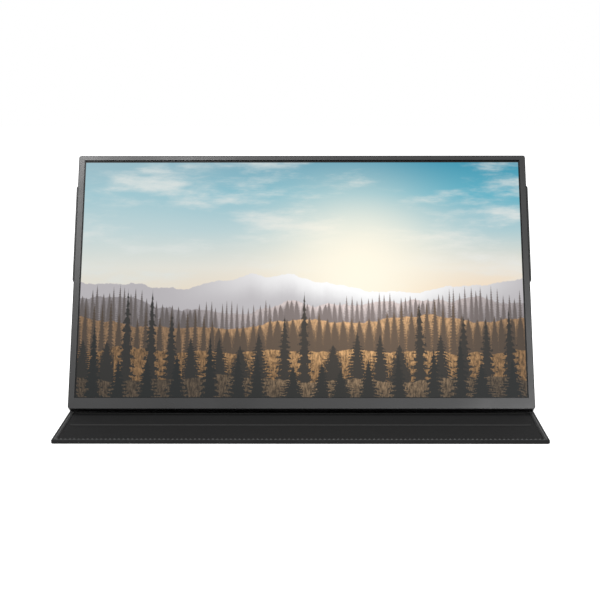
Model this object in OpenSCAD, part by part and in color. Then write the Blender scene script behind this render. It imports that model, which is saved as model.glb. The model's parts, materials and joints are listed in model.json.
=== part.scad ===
// A portable monitor that stands in its own folding cover.
// X runs along the screen, the screen faces -Y, and Z points up from the table.

/* [Screen] */
// Width of the lit picture
picture_w = 344.2; // [330:0.1:360]
// Height of the lit picture
picture_h = 193.6; // [186:0.1:203]
// Bezel left and right of the picture
bezel_side = 5.7; // [5.2:0.1:9]
// Bezel above the picture
bezel_top = 4.9; // [4.8:0.1:9]
// Chin under the picture
bezel_chin = 9.7; // [8.8:0.1:16]
// Thickness of the monitor
monitor_t = 10; // [9.8:0.1:13]
// Radius of the four corners seen from the front
corner_r = 2.3; // [1.8:0.1:3.5]
// Black margin that shows round the picture
black_line = 1; // [0.4:0.1:1.5]

/* [Housing] */
// Depth of the front bezel
bezel_depth = 4; // [3.8:0.1:4.4]
// Thickness of the bezel's front flange
flange_t = 1; // [0.8:0.1:1.2]
// Thickness of the side walls
wall_t = 1.4; // [1.2:0.1:1.5]
// Thickness of the rear wall
rear_t = 1.4; // [1.2:0.1:1.6]
// Roundness of the bezel's front edge
front_edge_r = 0.6; // [0.3:0.1:0.9]
// Roundness of the housing's rear edge
rear_edge_r = 2.4; // [1:0.1:3]
// Shadow line between bezel and rear housing
parting_gap = 0.1; // [0.05:0.05:0.3]
// Height of the tongue that locks the housing into the bezel
lip_h = 1.2; // [0.8:0.1:1.5]
// Thickness of that tongue
lip_t = 0.6; // [0.5:0.1:0.7]
// Clearance between the tongue and the bezel
lip_clear = 0.1; // [0.05:0.05:0.2]

/* [Panel stack] */
// Foam gasket behind the bezel
gasket_t = 0.3; // [0.2:0.1:0.4]
// Width of the foam gasket
gasket_w = 0.8; // [0.5:0.1:0.9]
// LCD cell
cell_t = 1.2; // [1:0.1:1.3]
// Margin of the cell beside and above the picture
cell_margin = 2; // [1.9:0.1:2]
// Driver ledge of the cell under the picture
cell_ledge = 4; // [3:0.1:5]
// Optical films
films_t = 0.4; // [0.3:0.1:0.5]
// Light guide
guide_t = 1; // [0.9:0.1:1.2]
// Reflector sheet
reflector_t = 0.2; // [0.1:0.1:0.3]
// Sheet metal of the tray
tray_t = 0.4; // [0.3:0.1:0.4]
// Clearance round the cell in its tray
cell_clear = 0.2; // [0.1:0.1:0.3]
// Depth of the LED bar
led_t = 0.8; // [0.6:0.1:0.9]

/* [Electronics] */
// Thickness of the circuit boards
board_t = 1; // [0.8:0.1:1]
// Width of the main board
main_board_w = 75; // [60:1:90]
// Height of the main board
main_board_h = 56; // [52:1:70]
// Height of the main board's lower edge above the monitor's foot
main_board_z = 28; // [27:1:34]
// Height of a port's middle above the board's lower edge, mini-HDMI
hdmi_at = 12; // [11:1:13]
// The lower USB-C port
usb_lower_at = 28; // [26:1:29]
// The upper USB-C port
usb_upper_at = 43; // [41:1:45]
// Length of the panel's source board
source_board_w = 160; // [120:1:180]
// Length of a speaker
speaker_w = 30; // [24:1:32]
// Height of a speaker
speaker_h = 12; // [10:1:13]
// Distance of each speaker's middle from the screen's middle
speaker_x = 115; // [112:1:118]
// Slots in each speaker grille
grille_slots = 11; // [5:1:11]
// Width of one grille slot
grille_slot_w = 1.1; // [0.8:0.1:1.3]

/* [Controls] */
// Height of the jog wheel above the monitor's foot
jog_z = 37.6; // [34:0.1:44]
// Height of the power button above the monitor's foot
power_z = 62; // [56:0.1:72]
// Radius of the jog wheel
jog_r = 4; // [3.4:0.1:4.4]
// Thickness of the jog wheel
jog_t = 2; // [1.6:0.1:2.1]
// How far the jog wheel stands out of the housing
jog_proud = 0.6; // [0.4:0.1:0.9]
// Notches round the jog wheel
jog_notches = 28; // [16:1:32]
// Length of the power button's cap
power_cap_l = 7; // [5:0.1:9]
// Thickness of the power button's cap
power_cap_t = 2.2; // [1.6:0.1:2.4]
// Travel of each control when pressed
press_travel = 0.4; // [0.3:0.05:0.5]
// Running clearance round the controls
run_clear = 0.3; // [0.2:0.05:0.35]

/* [Cover] */
// Thickness of a cover panel
panel_t = 3; // [2.6:0.1:3.6]
// Leather skin
skin_t = 0.8; // [0.6:0.1:0.9]
// Soft lining
lining_t = 0.8; // [0.5:0.1:0.9]
// Width of the skin's turned rim
rim_w = 2; // [1.6:0.1:3]
// Radius of a panel's corners
cover_corner_r = 2; // [1.6:0.1:6]
// Roundness of a panel's edges
cover_edge_r = 1; // [0.5:0.1:1.2]
// Reach of the base, spine and leg past the monitor's sides
cover_reach = 0.7; // [0.3:0.1:4]
// Reach of the magnetic back panel past the monitor's sides
back_reach = 2.45; // [0.7:0.05:6]
// Height of the back panel above its crease
back_panel_h = 83; // [70:1:98]
// Height of the back panel's crease above the monitor's foot
crease_z = 103.5; // [98:0.5:106]
// Reach of the closed cover past the monitor's top
base_reach = 1.6; // [0.5:0.1:6]
// Angle at which the monitor leans back
lean = 26.85; // [22:0.05:32]
// Gap between the monitor and the panels of the cover
body_gap = 0.3; // [0.2:0.05:0.4]
// Gap under the monitor when the cover is folded behind it
fold_gap = 0.5; // [0.4:0.05:1]
// Room in front of the closed monitor for its fold
fold_room = 2.7; // [2:0.1:4]
// Radius of the rubber stop ribs
rib_r = 0.9; // [0.6:0.1:1.1]
// Distance of the front stop rib from the base's front edge
front_rib_at = 45; // [30:1:60]

/* [Magnets] */
// Diameter of a magnet
magnet_d = 10; // [6:0.5:14]
// Thickness of a magnet
magnet_t = 1.2; // [0.8:0.1:1.2]
// Magnets along the panel, in two rows
magnet_columns = 4; // [2:1:6]
// Distance of the outer magnets from each other
magnet_span = 280; // [200:5:300]
// Distance between the two rows
magnet_rows_gap = 48; // [30:1:50]

/* [Hidden] */
$fn = 48;
cut = 1;

// The whole monitor
monitor_w = picture_w + 2 * bezel_side;
monitor_h = picture_h + bezel_top + bezel_chin;
picture_mid_z = bezel_chin + picture_h / 2;
right_x = monitor_w / 2;
inner_x = right_x - wall_t;
floor_y = monitor_t - rear_t;

// The panel stack, front to back
cell_y = flange_t + gasket_t;
films_y = cell_y + cell_t;
guide_y = films_y + films_t;
reflector_y = guide_y + guide_t;
tray_y = reflector_y + reflector_t;
tray_back_y = tray_y + tray_t;
cell_w = picture_w + 2 * cell_margin;
cell_h = picture_h + cell_margin + cell_ledge;
cell_mid_z = bezel_chin - cell_ledge + cell_h / 2;
tray_play = cell_clear + tray_t;
guide_margin = 1;
led_h = cell_ledge - guide_margin - cell_clear;

// The boards
board_y = tray_back_y + 1.7;
board_back_y = board_y + board_t;
board_left_x = -inner_x + 0.5;
board_mid_x = board_left_x + main_board_w / 2;
board_mid_z = main_board_z + main_board_h / 2;
port_y = board_y + board_t / 2;
post_d = 4;
post_bore_d = 1.6;
post_inset = 4;
board_hole_d = 1.8;
board_screw_d = 1.5;
board_screw_head_d = 3.2;
board_screw_head_t = 0.6;
board_screw_l = 2;
post_spots = [
    for (sx = [-1, 1], sz = [-1, 1])
        [board_mid_x + sx * (main_board_w / 2 - post_inset), board_mid_z + sz * (main_board_h / 2 - post_inset)]
];
source_board_h = 10;
source_board_t = 0.8;
source_board_z = 7;
source_y = tray_back_y + 0.3;
ribbon_t = 0.3;

// The screws of the rear housing
housing_post_d = 5;
housing_post_bore_d = 2;
housing_screw_d = 1.9;
housing_hole_d = 2.4;
screw_head_d = 3.8;
screw_head_t = 0.6;
screw_sink_d = 4.3;
screw_sink = 0.8;
housing_screw_l = 3.6;
screw_x = 150;
screw_low_z = 14;
screw_high_z = monitor_h - 12;
screw_spots = [
    for (x = [-screw_x, screw_x], z = [screw_low_z, screw_high_z]) [x, z],
    [0, screw_high_z],
    [0, crease_z]
];

// The speakers
speaker_z = 6;
speaker_y = tray_back_y + 0.5;
speaker_t = floor_y - speaker_y;
grille_pitch = 2 * grille_slot_w;
grille_h = 7;

// The controls on the right side
button_board_w = 12;
button_board_right_x = right_x - 15.8;
button_board_mid_x = button_board_right_x - button_board_w / 2;
button_board_low_z = jog_z - 7;
button_board_high_z = power_z + 7;
button_post = [button_board_mid_x, (jog_z + power_z) / 2];
switch_l = 3;
switch_h = 4;
switch_t = 1.8;
switch_x = button_board_right_x + switch_l;
press_gap = press_travel + 0.1;
control_y = port_y;
jog_x = right_x + jog_proud - jog_r;
jog_pin_r = 0.7;
jog_hub_clear = 0.2;
jog_notch_r = 0.22;
jog_plate_t = 0.4;
jog_plate_y = floor_y - run_clear - jog_plate_t;
jog_wheel_y = jog_plate_y - 0.2 - jog_t;
jog_plate_h = 6.4;
jog_block_l = 2.5;
jog_block_h = 4;
jog_block_t = 2.6;
guide_rib_t = 0.8;
guide_from_x = switch_x + 2;
guide_l = 6;
slot_play = 2 * run_clear;
jog_slot_l = 2 * sqrt(pow(jog_r, 2) - pow(jog_r - jog_proud - wall_t, 2)) + slot_play;
jog_mid_y = jog_wheel_y + jog_t / 2;
power_proud = 0.2;
power_flange_t = 0.8;
power_flange_over = 0.5;
power_stem_t = 1.2;
power_stem_h = 2;

// The cover's panels: width and thickness
half_t = panel_t / 2;
cover_w = monitor_w + 2 * cover_reach;
back_w = monitor_w + 2 * back_reach;
stiffener_t = panel_t - skin_t - lining_t;
stiffener_clear = 0.2;
tongue_t = skin_t;
tongue_gap = 0.3;
tongue_from = half_t + tongue_gap;
hinge_inset = 1.5;
// How far a panel's stiff end stays from each crease
spine_stand_off = half_t + 0.5;
leg_stand_off = half_t + 0.5;

// The folded cover behind the screen, in the screen's own frame
back_mid_y = monitor_t + body_gap + half_t;
leg_l = crease_z + half_t + fold_gap;
spine_l = fold_room + monitor_t + body_gap + half_t;
base_l = monitor_h + base_reach + 2;

// The stand: the screen's rear foot edge rests just over the base
foot_z = panel_t + body_gap;
crease_dy = (body_gap + half_t) * cos(lean) + crease_z * sin(lean);
crease_height = foot_z - (body_gap + half_t) * sin(lean) + crease_z * cos(lean);
leg_reach = leg_l + spine_l;
leg_rise = crease_height - half_t;
leg_angle = asin(leg_rise / leg_reach);
foot_to_fold = crease_dy + leg_reach * cos(leg_angle);
foot_to_front = base_l - foot_to_fold;
foot_y = (foot_to_front - foot_to_fold - half_t) / 2;
fold_y = foot_y + foot_to_fold;
base_stand_off = half_t / tan(leg_angle / 2) + 0.36;
stop_rib_at = 4;
rib_inset = 8;
back_low_z = crease_z + leg_stand_off;
back_high_z = crease_z + back_panel_h;
back_mid_z = (back_low_z + back_high_z) / 2;

// Ports on the left side
usb_t = 3.2;
usb_w = 9;
usb_l = 7.5;
usb_shell_t = 0.3;
usb_tongue_t = 0.7;
usb_tongue_w = 6.7;
usb_tongue_l = 5;
port_set_back = 0.3;
port_back_t = 0.8;
port_clear = 0.2;
port_front_x = port_set_back - right_x;
hdmi_t = 3.2;
hdmi_w = 11.2;
hdmi_l = 8;
hdmi_bevel = 1.2;
hdmi_shell_t = 0.4;
hdmi_z = main_board_z + hdmi_at;
usb_lower_z = main_board_z + usb_lower_at;
usb_upper_z = main_board_z + usb_upper_at;

// Flat cables
cable_w = 10;
cable_run_h = 5;
cable_x = board_mid_x + 13;
cable_start_x = 15 - source_board_w / 2;
cable_run_z = speaker_z + speaker_h + 1.5;
cable_low_z = source_board_z + source_board_h / 2;
cable_high_z = main_board_z + 8;
cable_y = source_y + source_board_t;
board_right_x = board_left_x + main_board_w;
lead_w = 2;
lead_z = main_board_z + 2;
ribbon_h = 6;
ribbon_grip = 3;

// The magnets and the steel they hold
steel_t = 0.5;
steel_margin = 3;
steel_h = magnet_rows_gap + magnet_d + 2 * steel_margin;
steel_outer_x = magnet_span / 2 + magnet_d / 2 + steel_margin;
steel_inner_x = 20;
magnet_spots = [
    for (i = [0 : magnet_columns - 1], row = [-1, 1])
        [magnet_span * (i / (magnet_columns - 1) - 0.5), back_mid_z + row * magnet_rows_gap / 2]
];

// ---- Frames ----

// The screen's frame: y = 0 is its front face, z = 0 its foot
module on_screen() {
    translate([0, foot_y, foot_z]) rotate([-lean, 0, 0]) translate([0, -monitor_t, 0]) children();
}

// The frame of the leg and spine: z runs up from the base's crease, +y is the outer side
module on_leg() {
    translate([0, fold_y, half_t]) rotate([90 - leg_angle, 0, 0]) children();
}

// The frame of the base: z runs from its crease to the front edge, +y is the under side
module on_base() {
    translate([0, fold_y, half_t]) rotate([90, 0, 0]) mirror([0, 1, 0]) children();
}

// The frame of the back panel: z as on the screen, +y is the outer side
module on_back() {
    on_screen() translate([0, back_mid_y, 0]) children();
}

// ---- Shared shapes ----

// Rectangle with round corners, centred
module round_rect(w, h, r) {
    square([w - 2 * r, h], center = true);
    square([w, h - 2 * r], center = true);
    for (sx = [-1, 1], sy = [-1, 1])
        translate([sx * (w / 2 - r), sy * (h / 2 - r)]) circle(r);
}

// Rectangle from y0 to y1 whose far edge at y1 is rounded
module one_round_side(w, y0, y1, r) {
    translate([-w / 2, y0]) square([w, y1 - y0 - r]);
    translate([r - w / 2, y0]) square([w - 2 * r, y1 - y0]);
    for (sx = [-1, 1]) translate([sx * (w / 2 - r), y1 - r]) circle(r);
}

// A flat outline in x and z, thickened from y0 to y1
module slab(y0, y1) {
    translate([0, y1, 0]) rotate([90, 0, 0]) linear_extrude(y1 - y0) children();
}

// An outline in y and z, thickened from x0 to x1
module sideways(x0, x1) {
    translate([x0, 0, 0]) rotate([90, 0, 90]) linear_extrude(x1 - x0) children();
}

// The monitor's outline, drawn in by inset
module monitor_outline(inset) {
    r = max(corner_r - inset, 0.3);
    translate([0, monitor_h / 2]) round_rect(monitor_w - 2 * inset, monitor_h - 2 * inset, r);
}

// Outline round the picture that reaches out by margin
module picture_outline(margin) {
    translate([0, picture_mid_z]) square([picture_w + 2 * margin, picture_h + 2 * margin], center = true);
}

// Outline of the LCD cell, grown by play
module cell_outline(play) {
    translate([0, cell_mid_z]) square([cell_w + 2 * play, cell_h + 2 * play], center = true);
}

// Block of the monitor's outline whose edges at y1 are rounded; y1 may lie before y0
module rounded_block(y0, y1, edge_r) {
    to_front = y1 < y0;
    low = min(y0, y1);
    high = max(y0, y1);
    intersection() {
        slab(low, high) monitor_outline(0);
        translate([0, to_front ? low + high : 0, 0]) mirror([0, to_front ? 1 : 0, 0])
            linear_extrude(monitor_h) one_round_side(monitor_w, low, high, edge_r);
        translate([0, to_front ? low + high : 0, monitor_h / 2]) mirror([0, to_front ? 1 : 0, 0])
            rotate([0, 90, 0]) translate([0, 0, -monitor_w / 2])
                linear_extrude(monitor_w) one_round_side(monitor_h, low, high, edge_r);
    }
}

// ---- Housing ----

module front_bezel() {
    color("dimgray") on_screen() difference() {
        rounded_block(bezel_depth - parting_gap, 0, front_edge_r);
        slab(-cut, flange_t + cut) picture_outline(black_line);
        slab(flange_t, bezel_depth + cut) monitor_outline(wall_t);
    }
}

module bezel_gasket() {
    color("black") on_screen() slab(flange_t, cell_y) difference() {
        picture_outline(black_line + gasket_w);
        picture_outline(black_line);
    }
}

module grille(x) {
    for (i = [0 : grille_slots - 1])
        translate([x + (i - (grille_slots - 1) / 2) * grille_pitch, speaker_z + speaker_h / 2])
            round_rect(grille_slot_w, grille_h, grille_slot_w / 2 - 0.05);
}

module wall_slot(x0, x1, y, z, w, h, r) {
    sideways(x0, x1) translate([y, z]) round_rect(w, h, r);
}

module rear_housing() {
    color("dimgray") on_screen() difference() {
        union() {
            difference() {
                rounded_block(bezel_depth, monitor_t, rear_edge_r);
                slab(bezel_depth - cut, floor_y) monitor_outline(wall_t);
            }
            lock_tongue();
            control_guides();
        }
        for (s = screw_spots) translate([s[0], 0, s[1]]) rotate([-90, 0, 0]) {
            cylinder(h = monitor_t + cut, d = housing_hole_d);
            translate([0, 0, monitor_t - screw_sink]) cylinder(h = screw_sink + cut, d = screw_sink_d);
        }
        slab(floor_y - cut, monitor_t + cut) {
            grille(-speaker_x);
            grille(speaker_x);
        }
        port_openings();
        control_openings();
    }
}

// Tongue that runs round inside the bezel's wall
module lock_tongue() {
    outer = wall_t + lip_clear;
    slab(bezel_depth - lip_h, bezel_depth + lip_t) difference() {
        monitor_outline(outer);
        monitor_outline(outer + lip_t);
    }
    slab(bezel_depth, bezel_depth + lip_t) difference() {
        monitor_outline(wall_t / 2);
        monitor_outline(outer + lip_t);
    }
}

// Ribs on the rear wall that guide the two controls
module control_guides() {
    for (side = [-1, 1]) {
        translate([guide_from_x, jog_plate_y, jog_z + side * (jog_plate_h / 2 + run_clear + guide_rib_t / 2)])
            guide_rib(floor_y - jog_plate_y);
        translate([guide_from_x, control_y - power_stem_t / 2,
            power_z + side * (power_stem_h / 2 + run_clear + guide_rib_t / 2)])
            guide_rib(floor_y - control_y + power_stem_t / 2);
    }
}

module guide_rib(h) {
    translate([0, 0, -guide_rib_t / 2]) cube([guide_l, h + rear_t / 2, guide_rib_t]);
}

module port_openings() {
    left = -right_x - cut;
    for (z = [usb_lower_z, usb_upper_z])
        wall_slot(left, cut - inner_x, port_y, z, usb_t + 2 * port_clear, usb_w + 2 * port_clear, usb_t / 2);
    sideways(left, cut - inner_x) translate([port_y, hdmi_z]) hdmi_outline(port_clear);
}

module control_openings() {
    power_w = power_cap_t + slot_play;
    wall_slot(inner_x - cut, right_x + cut, control_y, power_z, power_w, power_cap_l + slot_play, power_w / 2 - 0.05);
    jog_w = jog_t + slot_play;
    wall_slot(inner_x - cut, right_x + cut, jog_mid_y, jog_z, jog_w, jog_slot_l, jog_w / 4);
}

module housing_screws() {
    color("silver") on_screen() for (s = screw_spots) {
        rod(s, monitor_t - screw_sink, monitor_t - screw_sink + screw_head_t, screw_head_d);
        rod(s, monitor_t - screw_sink - housing_screw_l, monitor_t - screw_sink + screw_head_t / 2, housing_screw_d);
    }
}

// Rod along y at a spot given as [x, z]
module rod(spot, y0, y1, d) {
    translate([spot[0], y0, spot[1]]) rotate([-90, 0, 0]) cylinder(h = y1 - y0, d = d);
}

// ---- Panel stack ----

module lcd_cell() {
    color("midnightblue") on_screen() slab(cell_y, films_y) cell_outline(0);
}

module optical_films() {
    color("white") on_screen() slab(films_y, guide_y) picture_outline(guide_margin);
}

module light_guide() {
    color("aliceblue") on_screen() slab(guide_y, reflector_y) picture_outline(guide_margin);
}

module reflector_sheet() {
    color("whitesmoke") on_screen() slab(reflector_y, tray_y) picture_outline(guide_margin);
}

module led_bar() {
    color("gold") on_screen() slab(guide_y, guide_y + led_t)
        translate([0, bezel_chin - guide_margin - led_h / 2]) square([picture_w, led_h], center = true);
}

module panel_tray() {
    color("lightgray") on_screen() difference() {
        union() {
            slab(tray_y, tray_back_y) cell_outline(tray_play);
            slab(cell_y + tray_t, tray_y + tray_t / 2) difference() {
                cell_outline(tray_play);
                cell_outline(cell_clear);
            }
            for (s = screw_spots) rod(s, tray_y + tray_t / 2, floor_y, housing_post_d);
            for (s = post_spots) rod(s, tray_y + tray_t / 2, board_y, post_d);
            rod(button_post, tray_y + tray_t / 2, board_y, post_d);
        }
        for (s = screw_spots) rod(s, tray_back_y, floor_y + cut, housing_post_bore_d);
        for (s = post_spots) rod(s, tray_back_y - tray_t / 2, board_y + cut, post_bore_d);
        rod(button_post, tray_back_y - tray_t / 2, board_y + cut, post_bore_d);
    }
}

// ---- Electronics ----

module source_board() {
    color("darkgreen") on_screen() slab(source_y, source_y + source_board_t)
        translate([0, source_board_z + source_board_h / 2]) square([source_board_w, source_board_h], center = true);
}

module main_board() {
    color("darkgreen") on_screen() slab(board_y, board_back_y) difference() {
        translate([board_mid_x, board_mid_z]) square([main_board_w, main_board_h], center = true);
        for (z = [usb_lower_z, usb_upper_z]) board_notch(z, usb_l, usb_w);
        board_notch(hdmi_z, hdmi_l, hdmi_w);
        for (s = post_spots) translate(s) circle(d = board_hole_d);
    }
}

// Notch in the main board's left edge that a port sinks into
module board_notch(z, depth, w) {
    reach = port_front_x + depth - board_left_x + port_clear;
    translate([board_left_x - cut, z - w / 2 - port_clear]) square([reach + cut, w + 2 * port_clear]);
}

module board_screws() {
    color("silver") on_screen() for (s = concat(post_spots, [button_post])) {
        rod(s, board_back_y, board_back_y + board_screw_head_t, board_screw_head_d);
        rod(s, board_back_y - board_screw_l, board_back_y + board_screw_head_t / 2, board_screw_d);
    }
}

// The shield over the main board's processor
can_w = 30;
can_h = 24;
can_t = 0.2;

module shield_can() {
    color("silver") on_screen() translate([board_mid_x, 0, board_mid_z]) difference() {
        slab(board_back_y, floor_y - run_clear) square([can_w, can_h], center = true);
        slab(board_back_y - cut, floor_y - run_clear - can_t)
            square([can_w - 2 * can_t, can_h - 2 * can_t], center = true);
    }
}

module usb_c_port(z) {
    back_x = port_front_x + usb_l;
    color("silver") on_screen() {
        difference() {
            wall_slot(port_front_x, back_x, port_y, z, usb_t, usb_w, usb_t / 2 - 0.1);
            wall_slot(port_front_x - cut, back_x - port_back_t, port_y, z,
                usb_t - 2 * usb_shell_t, usb_w - 2 * usb_shell_t, usb_t / 2 - usb_shell_t - 0.1);
        }
        translate([back_x - port_back_t / 2 - usb_tongue_l, port_y - usb_tongue_t / 2, z - usb_tongue_w / 2])
            cube([usb_tongue_l, usb_tongue_t, usb_tongue_w]);
    }
}

module usb_c_port_upper() {
    usb_c_port(usb_upper_z);
}

module usb_c_port_lower() {
    usb_c_port(usb_lower_z);
}

// Mini-HDMI outline in y and z, with its two bevelled corners, grown by play
module hdmi_outline(play) {
    t = hdmi_t / 2 + play;
    w = hdmi_w / 2 + play;
    polygon([
        [-t, -w], [t - hdmi_bevel, -w], [t, hdmi_bevel - w],
        [t, w - hdmi_bevel], [t - hdmi_bevel, w], [-t, w]
    ]);
}

module mini_hdmi_port() {
    back_x = port_front_x + hdmi_l;
    color("silver") on_screen() translate([0, port_y, hdmi_z]) {
        difference() {
            sideways(port_front_x, back_x) hdmi_outline(0);
            sideways(port_front_x - cut, back_x - port_back_t) hdmi_outline(-hdmi_shell_t);
        }
        translate([back_x - port_back_t / 2 - usb_tongue_l, -usb_tongue_t / 2, -usb_tongue_w / 2])
            cube([usb_tongue_l, usb_tongue_t, usb_tongue_w]);
    }
}

module display_cable() {
    color("orange") on_screen() slab(cable_y, cable_y + ribbon_t) {
        translate([cable_start_x - cable_w, cable_low_z]) square([cable_w, cable_run_z + cable_run_h - cable_low_z]);
        translate([cable_x, cable_run_z]) square([cable_start_x - cable_x, cable_run_h]);
        translate([cable_x - cable_w / 2, cable_run_z]) square([cable_w, cable_high_z - cable_run_z]);
    }
}

module button_ribbon() {
    from_x = board_right_x - ribbon_grip;
    to_x = button_board_mid_x - button_board_w / 2 + ribbon_grip;
    color("orange") on_screen() slab(board_y - ribbon_t, board_y)
        translate([from_x, button_post[1] - ribbon_h / 2]) square([to_x - from_x, ribbon_h]);
}

module speaker(x) {
    color("black") on_screen() slab(speaker_y, speaker_y + speaker_t)
        translate([x, speaker_z + speaker_h / 2]) round_rect(speaker_w, speaker_h, 2);
}

module speaker_left() {
    speaker(-speaker_x);
}

module speaker_right() {
    speaker(speaker_x);
}

module speaker_leads() {
    top_z = speaker_z + speaker_h;
    color("red") on_screen() slab(board_y, board_y + ribbon_t) {
        translate([-speaker_x - lead_w / 2, top_z]) square([lead_w, main_board_z - top_z]);
        translate([board_right_x, lead_z]) square([speaker_x + lead_w / 2 - board_right_x, lead_w]);
        translate([speaker_x - lead_w / 2, top_z]) square([lead_w, lead_z + lead_w - top_z]);
    }
}

module button_board() {
    color("darkgreen") on_screen() slab(board_y, board_back_y) difference() {
        translate([button_board_mid_x - button_board_w / 2, button_board_low_z])
            square([button_board_w, button_board_high_z - button_board_low_z]);
        translate(button_post) circle(d = board_hole_d);
    }
}

module tact_switches() {
    color("black") on_screen() for (z = [jog_z, power_z])
        translate([button_board_right_x, control_y - switch_t / 2, z - switch_h / 2])
            cube([switch_l, switch_t, switch_h]);
}

module steel_plates() {
    color("gray") on_screen() slab(floor_y - steel_t, floor_y) for (side = [-1, 1])
        translate([side * (steel_outer_x + steel_inner_x) / 2, back_mid_z])
            square([steel_outer_x - steel_inner_x, steel_h], center = true);
}

// ---- Controls ----

module power_button() {
    flange_x = inner_x - run_clear - power_flange_t;
    cap_r = power_cap_t / 2 - 0.05;
    color("dimgray") on_screen() {
        wall_slot(flange_x + power_flange_t / 2, right_x + power_proud, control_y, power_z,
            power_cap_t, power_cap_l, cap_r);
        wall_slot(flange_x, flange_x + power_flange_t, control_y, power_z,
            power_cap_t + 2 * power_flange_over, power_cap_l + 2 * power_flange_over, cap_r);
        translate([switch_x + press_gap, control_y - power_stem_t / 2, power_z - power_stem_h / 2])
            cube([flange_x + power_flange_t / 2 - switch_x - press_gap, power_stem_t, power_stem_h]);
    }
}

module jog_carrier() {
    from_x = switch_x + press_gap;
    color("black") on_screen() {
        translate([from_x, jog_plate_y, jog_z - jog_plate_h / 2])
            cube([inner_x - run_clear - from_x, jog_plate_t, jog_plate_h]);
        translate([from_x, control_y - jog_block_t / 2, jog_z - jog_block_h / 2])
            cube([jog_block_l, jog_plate_y + jog_plate_t - control_y + jog_block_t / 2, jog_block_h]);
        rod([jog_x, jog_z], jog_wheel_y - jog_plate_t, jog_plate_y + jog_plate_t / 2, 2 * jog_pin_r);
    }
}

module jog_wheel() {
    color("dimgray") on_screen() difference() {
        rod([jog_x, jog_z], jog_wheel_y, jog_wheel_y + jog_t, 2 * jog_r);
        rod([jog_x, jog_z], jog_wheel_y - cut, jog_wheel_y + jog_t + cut, 2 * (jog_pin_r + jog_hub_clear));
        for (i = [0 : jog_notches - 1]) {
            angle = 360 * i / jog_notches;
            rod([jog_x + jog_r * cos(angle), jog_z + jog_r * sin(angle)],
                jog_wheel_y - cut, jog_wheel_y + jog_t + cut, 2 * jog_notch_r);
        }
    }
}

// ---- Cover ----

// A stiff panel's leather: a plate with round edges, open towards the lining, from z0 to z1
module panel_skin(w, z0, z1, tongues) {
    l = z1 - z0;
    mid = (z0 + z1) / 2;
    difference() {
        union() {
            translate([0, 0, mid]) intersection() {
                slab(-half_t, half_t) round_rect(w, l, cover_corner_r);
                linear_extrude(l, center = true) round_rect(w, panel_t, cover_edge_r);
                rotate([0, 90, 0]) linear_extrude(w, center = true) round_rect(l, panel_t, cover_edge_r);
            }
            for (t = tongues) slab(-tongue_t / 2, tongue_t / 2)
                translate([hinge_inset - w / 2, t[0]]) square([w - 2 * hinge_inset, t[1] - t[0]]);
        }
        slab(-half_t - cut, half_t - skin_t) translate([0, mid]) square([w - 2 * rim_w, l - 2 * rim_w], center = true);
    }
}

// What lies in the skin between the depths y0 and y1
module panel_layer(w, z0, z1, y0, y1) {
    edge = 2 * (rim_w + stiffener_clear);
    slab(y0, y1) translate([0, (z0 + z1) / 2]) square([w - edge, z1 - z0 - edge], center = true);
}

module panel_stiffener(w, z0, z1) {
    panel_layer(w, z0, z1, half_t - skin_t - stiffener_t, half_t - skin_t);
}

module panel_lining(w, z0, z1) {
    panel_layer(w, z0, z1, -half_t, lining_t - half_t);
}

// The round of leather along a crease
module crease(w) {
    rotate([0, 90, 0]) cylinder(h = w - 2 * hinge_inset, d = panel_t, center = true);
}

module back_panel_skin() {
    color([0.13, 0.13, 0.14]) on_back()
        panel_skin(back_w, back_low_z, back_high_z, [[crease_z + tongue_from, back_low_z + rim_w / 2]]);
}

module back_panel_board() {
    color("tan") on_back() difference() {
        panel_stiffener(back_w, back_low_z, back_high_z);
        for (s = magnet_spots) rod(s, -panel_t, panel_t, magnet_d + 2 * stiffener_clear);
    }
}

module back_panel_lining() {
    color([0.2, 0.2, 0.21]) on_back() panel_lining(back_w, back_low_z, back_high_z);
}

module back_panel_magnets() {
    magnet_y = lining_t - half_t;
    color("silver") on_back() for (s = magnet_spots) rod(s, magnet_y, magnet_y + magnet_t, magnet_d);
}

leg_low_z = spine_l + leg_stand_off;
leg_high_z = leg_reach - leg_stand_off;
spine_high_z = spine_l - spine_stand_off;

module leg_skin() {
    color([0.13, 0.13, 0.14]) on_leg() panel_skin(cover_w, leg_low_z, leg_high_z, [
        [spine_l + tongue_from, leg_low_z + rim_w / 2],
        [leg_high_z - rim_w / 2, leg_reach - tongue_from]
    ]);
}

module leg_board() {
    color("tan") on_leg() panel_stiffener(cover_w, leg_low_z, leg_high_z);
}

module leg_lining() {
    color([0.2, 0.2, 0.21]) on_leg() panel_lining(cover_w, leg_low_z, leg_high_z);
}

module spine_skin() {
    color([0.13, 0.13, 0.14]) on_leg() panel_skin(cover_w, base_stand_off, spine_high_z, [
        [tongue_from, base_stand_off + rim_w / 2],
        [spine_high_z - rim_w / 2, spine_l - tongue_from]
    ]);
}

module spine_board() {
    color("tan") on_leg() panel_stiffener(cover_w, base_stand_off, spine_high_z);
}

module spine_lining() {
    color([0.2, 0.2, 0.21]) on_leg() panel_lining(cover_w, base_stand_off, spine_high_z);
}

module base_skin() {
    color([0.13, 0.13, 0.14]) on_base()
        panel_skin(cover_w, base_stand_off, base_l, [[tongue_from, base_stand_off + rim_w / 2]]);
}

module base_board() {
    color("tan") on_base() panel_stiffener(cover_w, base_stand_off, base_l);
}

module base_lining() {
    color([0.2, 0.2, 0.21]) on_base() panel_lining(cover_w, base_stand_off, base_l);
}

// Half-round rubber ribs on the base that stop the screen's foot
module base_ribs() {
    half_l = cover_w / 2 - rib_inset;
    color("black") on_base() for (z = [foot_to_fold + stop_rib_at, base_l - front_rib_at])
        sideways(-half_l, half_l) translate([-half_t, z]) intersection() {
            circle(rib_r);
            translate([-2 * rib_r, -rib_r]) square(2 * rib_r);
        }
}

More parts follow.
